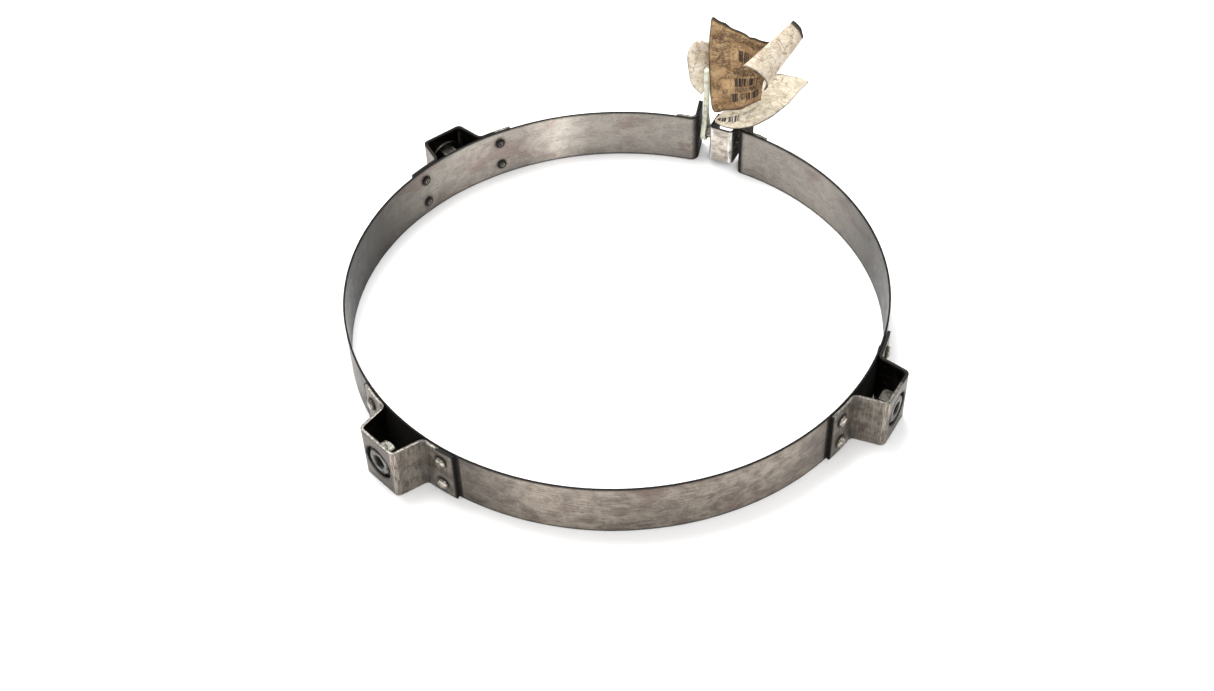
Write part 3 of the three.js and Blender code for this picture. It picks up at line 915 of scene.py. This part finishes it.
def dome_profile(foot):
    """A button head whose foot stands at a radius from the ring's axis."""
    head, height = RIVET["head"], RIVET["head_h"]
    rings = []
    for degrees, grime in DOME_RINGS:
        rise = math.radians(degrees)
        rings.append((foot + height * math.sin(rise), head * math.cos(rise) ** 0.8, grime))
    return [*rings, (foot + height, 0.05, 0.2)]


def rivet_profile():
    """The hollow-ended tail inside the strap, the shank, and the domed head outside the hat."""
    seat = STRAP_OUTER_R + FIT_GAP + HAT_T
    inside = RING_INNER_R - FIT_GAP
    head, tail, shank = RIVET["head"], RIVET["tail"], RIVET["shank"]
    end = inside - RIVET["tail_h"]
    # The third numbers are painted shade: the hollow tail is black but for one ring, and so are the
    # shank and the head's underside and rim.
    return [(end + 0.25, 0.05, 1), (end + 0.2, tail * 0.22, 1), (end, tail * 0.34, 0.1),
            (end, tail * 0.5, 1), (end + 0.12, tail * 0.84, 1),
            (end + 0.42, tail, 1), (inside + 0.15, tail * 0.96, 1),
            (inside + 0.25, shank, 1), (seat + 0.05, shank, 1),
            (seat + 0.05, head * 0.96, 1), (seat + 0.15, head, 1), *dome_profile(seat + FIT_GAP)]


def make_rivet(steel, angle, z, body, node):
    piece = outward(turned(node + "_fine", rivet_profile(), steel["rivet"], 40), angle, z)
    settle(piece, body, node)


# The upper rim of each hat is painted black as shade where x, along the ring, is below this.
# Millimetres.
BLACK_RIM_UP_TO = {"a": -20, "b": -3, "c": 20}
BLACK_RIM_DEPTH = 0.25
# The painted shade in the valley where a leg meets its flange: out from the leg, and up from the
# strap.
VALLEY = {"out": 1.2, "up": 2.4}
PLATE_TONE = 0.62


def head_shade(x, z):
    """Painted shade in rings round the rivets' heads on the flanges, in the bracket's own x and z."""
    along = abs(x) - math.radians(RIVET_ANGLE) * STRAP_OUTER_R
    nearest = min(math.hypot(along, z - rivet_z) for rivet_z in RIVET_HEIGHTS)
    return PAINTED_SHADE["head"] * fade_out(nearest, *FADES["head"])


def seat_shade(x, y, z):
    """Painted shade in a ring round the hole in the outer plate."""
    if y <= HAT_OUTER_R - HAT_T:
        return 0.0
    return PAINTED_SHADE["seat"] * fade_out(math.hypot(x, z - STRAP_W / 2), *FADES["seat"])


def hat_shade(letter):
    """Painted shade: dark rings round the rivet heads and the nut's seat, black flange ends and
    valleys, and part of the upper rim.
    """
    def grime(x, y, z, inside):
        if z > STRAP_W - BLACK_RIM_DEPTH and x < BLACK_RIM_UP_TO[letter]:
            return PAINTED_SHADE["black_rim"]
        flange_end = soft_step(abs(math.degrees(math.atan2(x, y))), *FADES["flange_end"])
        if inside:
            return flange_end
        from_leg = abs(abs(x) - HAT_BASE_HALF - VALLEY["out"])
        valley = from_leg + max(0.0, y - STRAP_OUTER_R - VALLEY["up"])
        return max(flange_end, PAINTED_SHADE["valley"] * fade_out(valley, *FADES["valley"]),
                   head_shade(x, z), seat_shade(x, y, z))
    return grime


def hat_tone(x, y, inside):
    """The outer plate is more stained than the legs and flanges."""
    on_plate = y > HAT_OUTER_R - HAT_T and abs(x) < HAT_TOP_HALF - 1
    return PLATE_TONE if on_plate else 1.0


def make_bracket(steel, letter):
    azimuth, body = BRACKETS[letter], BODY_OF_BRACKET[letter]
    hat = strip_mesh(f"hat_bracket_{letter}_fine", hat_path(), HAT_T, 0, STRAP_W,
                     steel["bracket"], corner=0.2, rows=24, longest=0.8,
                     grime=hat_shade(letter), tone=hat_tone)
    seat = drill(SEAT_HOLE_R, HAT_OUTER_R - SEAT_DRILL_REACH, HAT_OUTER_R + SEAT_DRILL_REACH,
                 HAT_OUTER_R)
    cut_hole(hat, moved(seat, Matrix.Translation((0, 0, STRAP_W / 2 * MM))))
    settle(outward(hat, azimuth), body, f"hat_bracket_{letter}")
    make_weld_nut(steel, letter, body)
    corners = [(azimuth + side * RIVET_ANGLE, z) for side in (-1, 1) for z in RIVET_HEIGHTS]
    for number, (angle, z) in enumerate(corners, 1):
        make_rivet(steel, angle, z, body, f"rivet_{letter}{number}")


# ---- Paper tags and tie ----
def tag_frame(plane):
    """The matrix from a tag's own (across, up, towards its facing side) to the frame's axes."""
    turn, lean = math.radians(plane["turn"]), math.radians(plane["lean"])
    across = Vector((math.cos(turn), math.sin(turn), 0))
    back = Vector((-math.sin(turn), math.cos(turn), 0))
    up = back * math.sin(lean) + Vector((0, 0, math.cos(lean)))
    matrix = Matrix((across, up, across.cross(up))).transposed().to_4x4()
    matrix.translation = plane["origin"]
    return matrix


# Painted shade on a sheet's outermost ring of points and on the next one in.
EDGE_SHADE = (1.0, 0.35)


def sheet_faces():
    """Both sides of a square grid of points, and the band round its border that joins them."""
    cells, width = SHEET_CELLS, SHEET_CELLS + 1
    per_side = width * width
    faces = []
    for j in range(cells):
        for i in range(cells):
            a = j * width + i
            quad = (a, a + 1, a + 1 + width, a + width)
            faces.append(quad)
            faces.append(tuple(per_side + k for k in reversed(quad)))
    border = [*range(cells), *(j * width + cells for j in range(cells)),
              *(cells * width + i for i in range(cells, 0, -1)),
              *(j * width for j in range(cells, 0, -1))]
    for a, b in zip(border, border[1:] + border[:1]):
        faces.append((b, a, a + per_side, b + per_side))
    return faces


def sheet_normal(grid, i, j):
    along = grid[j][min(i + 1, SHEET_CELLS)] - grid[j][max(i - 1, 0)]
    up = grid[min(j + 1, SHEET_CELLS)][i] - grid[max(j - 1, 0)][i]
    return along.cross(up).normalized()


def sheet_edge_shade(i, j, dark_from):
    """Painted shade on a sheet's edges, and on everything above dark_from, a share of its height."""
    from_edge = min(i, j, SHEET_CELLS - i, SHEET_CELLS - j)
    dirt_and_shade = EDGE_SHADE[from_edge] if from_edge < len(EDGE_SHADE) else 0.0
    return max(dirt_and_shade, soft_step(j / SHEET_CELLS, dark_from, dark_from + 0.03))


def paper_sheet(name, plane, point, material, dark_from):
    """A thin closed sheet from point(u, v), which gives (across, up, towards its facing side)."""
    matrix = tag_frame(plane)
    steps = range(SHEET_CELLS + 1)
    grid = [[Vector(point(i / SHEET_CELLS, j / SHEET_CELLS)) for i in steps] for j in steps]
    verts, places, edge_shades = [], [], []
    for side in (0.5, -0.5):
        for j in steps:
            for i in steps:
                verts.append(matrix @ (grid[j][i] + sheet_normal(grid, i, j) * side * PAPER_T))
                places.append((i / SHEET_CELLS, j / SHEET_CELLS))
                edge_shades.append(sheet_edge_shade(i, j, dark_from))
    piece = new_piece(name, verts, sheet_faces(), material, SHEET_SHARP_ANGLE)
    add_uv(piece.data, "sheet", places)
    add_values(piece.data, {"rim": edge_shades})
    flip_out(piece)
    return piece


def ragged(u, v, amount, seed):
    """A small wander for a torn edge."""
    return amount * noise.noise(Vector((u * 9 + seed, v * 9, seed * 1.7)))


def crumple(a, b, amount, seed, size=9.0):
    """A wander of a sheet out of its plane."""
    return amount * noise.noise(Vector((a / size + seed, b / size, seed)))


def along_edge(points, share):
    """A smooth curve through evenly spaced points."""
    place = min(share * (len(points) - 1), len(points) - 1.0001)
    i = int(place)
    t = place - i
    before, here, there, after = (Vector(points[min(max(k, 0), len(points) - 1)])
                                  for k in (i - 1, i, i + 1, i + 2))
    first = (there - before) * t
    second = (2 * before - 5 * here + 4 * there - after) * t ** 2
    third = (3 * here - before - 3 * there + after) * t ** 3
    return 0.5 * (2 * here + first + second + third)


# The lower and upper edges of two tags, and the outer and inner edges of a third, as
# (across, up) in each tag's own plane. Millimetres.
BROWN_LOW = [(2.6, -4.3), (11.5, -3.6), (18.1, -1.8), (24.7, 1.0)]
BROWN_HIGH = [(2.5, 41.1), (8.5, 37.7), (15.6, 33.6), (22.0, 30.2), (28.8, 28.4)]
LOWER_LOW = [(-0.3, 1.0), (1.3, -1.9), (8.9, -3.0), (15.6, -0.4), (21.3, 4.6), (25.4, 12.0),
             (28.5, 22.0), (30.6, 32.8), (31.8, 39.7)]
LOWER_HIGH = [(-0.3, 1.6), (1.2, 8.0), (3.6, 16.0), (6.4, 24.0), (10.0, 32.0), (15.7, 39.8),
              (21.2, 40.5), (27.5, 40.8), (31.6, 40.0)]
LEFT_OUTER = [(-2.9, 2.4), (-5.5, 4.8), (-7.7, 8.2), (-8.7, 14.2), (-9.2, 19.6), (-8.5, 23.5),
              (-5.9, 27.3), (-2.6, 28.1)]
LEFT_INNER = [(-2.5, 2.4), (0.6, 7.0), (1.8, 11.0), (2.4, 15.0), (2.8, 19.0), (2.8, 23.0),
              (2.0, 26.4), (-2.2, 28.2)]


def brown_point(u, v):
    """The brown tag: ragged, bulging at its left, folded down its length and curled on top."""
    spot = along_edge(BROWN_LOW, u).lerp(along_edge(BROWN_HIGH, u), v)
    bulge = 2.2 * math.sin(math.pi * v) ** 0.4 if 0 < v < 1 else 0.0
    a = spot.x - bulge * (1 - u) ** 3 - ragged(u, v, 0.5, 2)
    b = spot.y + ragged(v, u, 0.6, 5)
    fold = 0.9 * max(0.0, 1 - abs(u - 0.3 + 0.12 * math.sin(6 * v)) * 6) * (1 - 0.5 * v)
    pinch = 0.8 * max(0.0, 1 - abs(v - 0.22 - 0.3 * u) * 7) * (1 - u)
    curl = 0.9 * (1 - u) ** 3 + 0.8 * max(0.0, v - 0.8) * 5
    return a, b, 0.6 - fold - pinch + curl + crumple(a, b, 1.5, 3, 6)


def lower_point(u, v):
    """The tag that leans back under the others, with its lower edge curled forward."""
    spot = along_edge(LOWER_LOW, u).lerp(along_edge(LOWER_HIGH, u), v)
    curl = 1.1 * (1 - v) ** 2 * math.sin(math.pi * u)
    return (spot.x + ragged(u, v, 0.4, 8), spot.y, 0.9 + curl + crumple(spot.x, spot.y, 0.7, 7))


def left_point(u, v):
    """The narrow tag that stands behind the brown one, at its left."""
    spot = along_edge(LEFT_OUTER, v).lerp(along_edge(LEFT_INNER, v), u)
    depth = -10.9 + 1.2 * math.sin(math.pi * u)
    return spot.x, spot.y, depth + crumple(spot.x, spot.y, 0.6, 12)


def roll_point(u, v):
    """A sheet rolled into a tapered tube that opens into an arch at its lower end."""
    side = 2 * u - 1
    turn = side * math.radians(98 + 95 * min(1.0, v * 1.6))
    radius = (ROLL["wide"] + (ROLL["narrow"] - ROLL["wide"]) * v ** 0.8) * (1 - 0.12 * u * v)
    skew = 2.6 * max(0.0, math.sin(turn)) * v ** 6
    along = 4.6 * (1 - side * side) * (1 - v) ** 2 + ROLL["length"] * v - skew
    wide = radius * math.sin(turn)
    tilt = math.radians(ROLL["tilt"])
    a = ROLL["foot"][0] + along * math.sin(tilt) + wide * math.cos(tilt)
    b = ROLL["foot"][1] + along * math.cos(tilt) - wide * math.sin(tilt)
    lift = radius * math.cos(turn) * ROLL["flat"]
    return a, b, ROLL_DEPTH + lift + crumple(a, b, 0.5, 21, 6)


def make_tags(paper):
    for node, plane, point, material, dark_from in (
            ("tag_brown", UPRIGHT, brown_point, "kraft", 0.955),
            ("tag_lower", LYING, lower_point, "cream", 1.0),
            ("tag_left", UPRIGHT, left_point, "plain", 1.0),
            ("tag_rolled", UPRIGHT, roll_point, "plain", 0.93)):
        piece = paper_sheet(node + "_fine", plane, point, paper[material], dark_from)
        settle(piece, "tag_bundle", node)


def make_tie(material):
    middle = BOLT_R + TIE["slack"] + TIE["t"] / 2
    apart = (TIE["t"] + FIT_GAP) / 2
    under = [p + Vector((BOLT_Y, BOLT_Z)) for p in arc(middle, 180, 360, 12)]
    neck, top = TIE["neck"], TIE["top"]
    path = [Vector((BOLT_Y - apart, top)), Vector((BOLT_Y - apart, neck)), *under,
            Vector((BOLT_Y + apart, neck)), Vector((BOLT_Y + apart, top))]
    piece = strip_mesh("cable_tie_fine", path, TIE["t"], -TIE["width"] / 2, TIE["width"] / 2,
                       material, corner=0.3, rows=2, longest=1.5)
    turn = Matrix(((0, 0, 1, 0), (1, 0, 0, 0), (0, 1, 0, 0), (0, 0, 0, 1)))
    moved(piece, Matrix.Translation((TIE["x"] * MM, 0, 0)) @ turn)
    settle(piece, "tag_bundle", "cable_tie")


# ---- Stage ----
CAMERA = {"azimuth": 27.0, "elevation": 45.53, "roll": -1.85, "distance": 0.717, "lens": 49.66}
AIM = Vector((0.0082, -0.0269, STRAP_W / 2 * MM))
FLOOR_SIZE = 8
FLOOR_Z = -0.0002
# Each lamp as (place, diameter, watts).
LAMPS = {"key": ((-0.5, 0.35, 1.3), 0.9, 17), "fill": ((0.7, -0.9, 1.1), 0.8, 6)}
# The sky's grey at two heights of its ramp, as (height, grey), and its brightness.
SKY = ((0.0, 0.12), (0.75, 1.0))
SKY_STRENGTH = 0.95
EXPOSURE = 0.35


def make_camera():
    turn = math.radians(CAMERA["azimuth"])
    rise = math.radians(CAMERA["elevation"])
    forward = Vector((-math.sin(turn) * math.cos(rise), math.cos(turn) * math.cos(rise),
                      -math.sin(rise)))
    lens = bpy.data.cameras.new("camera")
    lens.lens = CAMERA["lens"]
    lens.sensor_width = 36
    camera = bpy.data.objects.new("camera", lens)
    upright = forward.to_track_quat("-Z", "Y").to_matrix().to_4x4()
    rolled = upright @ Matrix.Rotation(math.radians(CAMERA["roll"]), 4, "Z")
    camera.matrix_world = Matrix.Translation(AIM - forward * CAMERA["distance"]) @ rolled
    bpy.context.scene.collection.objects.link(camera)
    bpy.context.scene.camera = camera


def make_lamp(name, place, size, power):
    """A round lamp that points at the middle of the ring."""
    lamp = bpy.data.lights.new(name, "AREA")
    lamp.shape = "DISK"
    lamp.size = size
    lamp.energy = power
    light = bpy.data.objects.new(name, lamp)
    light.location = place
    light.rotation_euler = (-Vector(place)).to_track_quat("-Z", "Y").to_euler()
    bpy.context.scene.collection.objects.link(light)


def make_floor():
    bpy.ops.mesh.primitive_plane_add(size=FLOOR_SIZE, location=(0, 0, FLOOR_Z))
    floor = bpy.context.object
    floor.name = "floor"
    n = Nodes("floor_pale")
    grain = n.noise(n.scaled(n.place(), (9, 9, 9)), 3.0, 0.5)
    floor.data.materials.append(n.finish(n.mix(grain, (0.9, 0.9, 0.9), (0.94, 0.94, 0.94)), 0.7))
    floor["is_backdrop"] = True


def make_sky():
    world = bpy.data.worlds.new("studio")
    bpy.context.scene.world = world
    world.use_nodes = True
    tree = world.node_tree
    place = tree.nodes.new("ShaderNodeTexCoord")
    split = tree.nodes.new("ShaderNodeSeparateXYZ")
    ramp = tree.nodes.new("ShaderNodeValToRGB")
    for stop, (height, grey) in zip(ramp.color_ramp.elements, SKY):
        stop.position = height
        stop.color = (grey, grey, grey, 1)
    background = tree.nodes["Background"].inputs
    background["Strength"].default_value = SKY_STRENGTH
    tree.links.new(place.outputs["Generated"], split.inputs[0])
    tree.links.new(split.outputs["Z"], ramp.inputs["Fac"])
    tree.links.new(ramp.outputs["Color"], background["Color"])


def make_stage():
    make_floor()
    make_sky()
    for name, (place, size, power) in LAMPS.items():
        make_lamp(name, place, size, power)
    bpy.context.scene.view_settings.view_transform = "Standard"
    bpy.context.scene.view_settings.exposure = EXPOSURE


make_camera()
looks = make_materials()
make_strap(looks)
make_lugs(looks)
make_spacer(looks)
make_bolt(looks)
make_washer(looks, "bolt_washer", "ring_left")
make_washer(looks, "nut_washer", "nut_side_washer")
make_lock_nut(looks)
for bracket in BRACKETS:
    make_bracket(looks, bracket)
make_tags(looks)
make_tie(looks["tie"])
make_stage()

boxes = {"cad": cad_bounds, "visual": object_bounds()}
{key: [list(map(float, corner)) for corner in box] for key, box in boxes.items()}
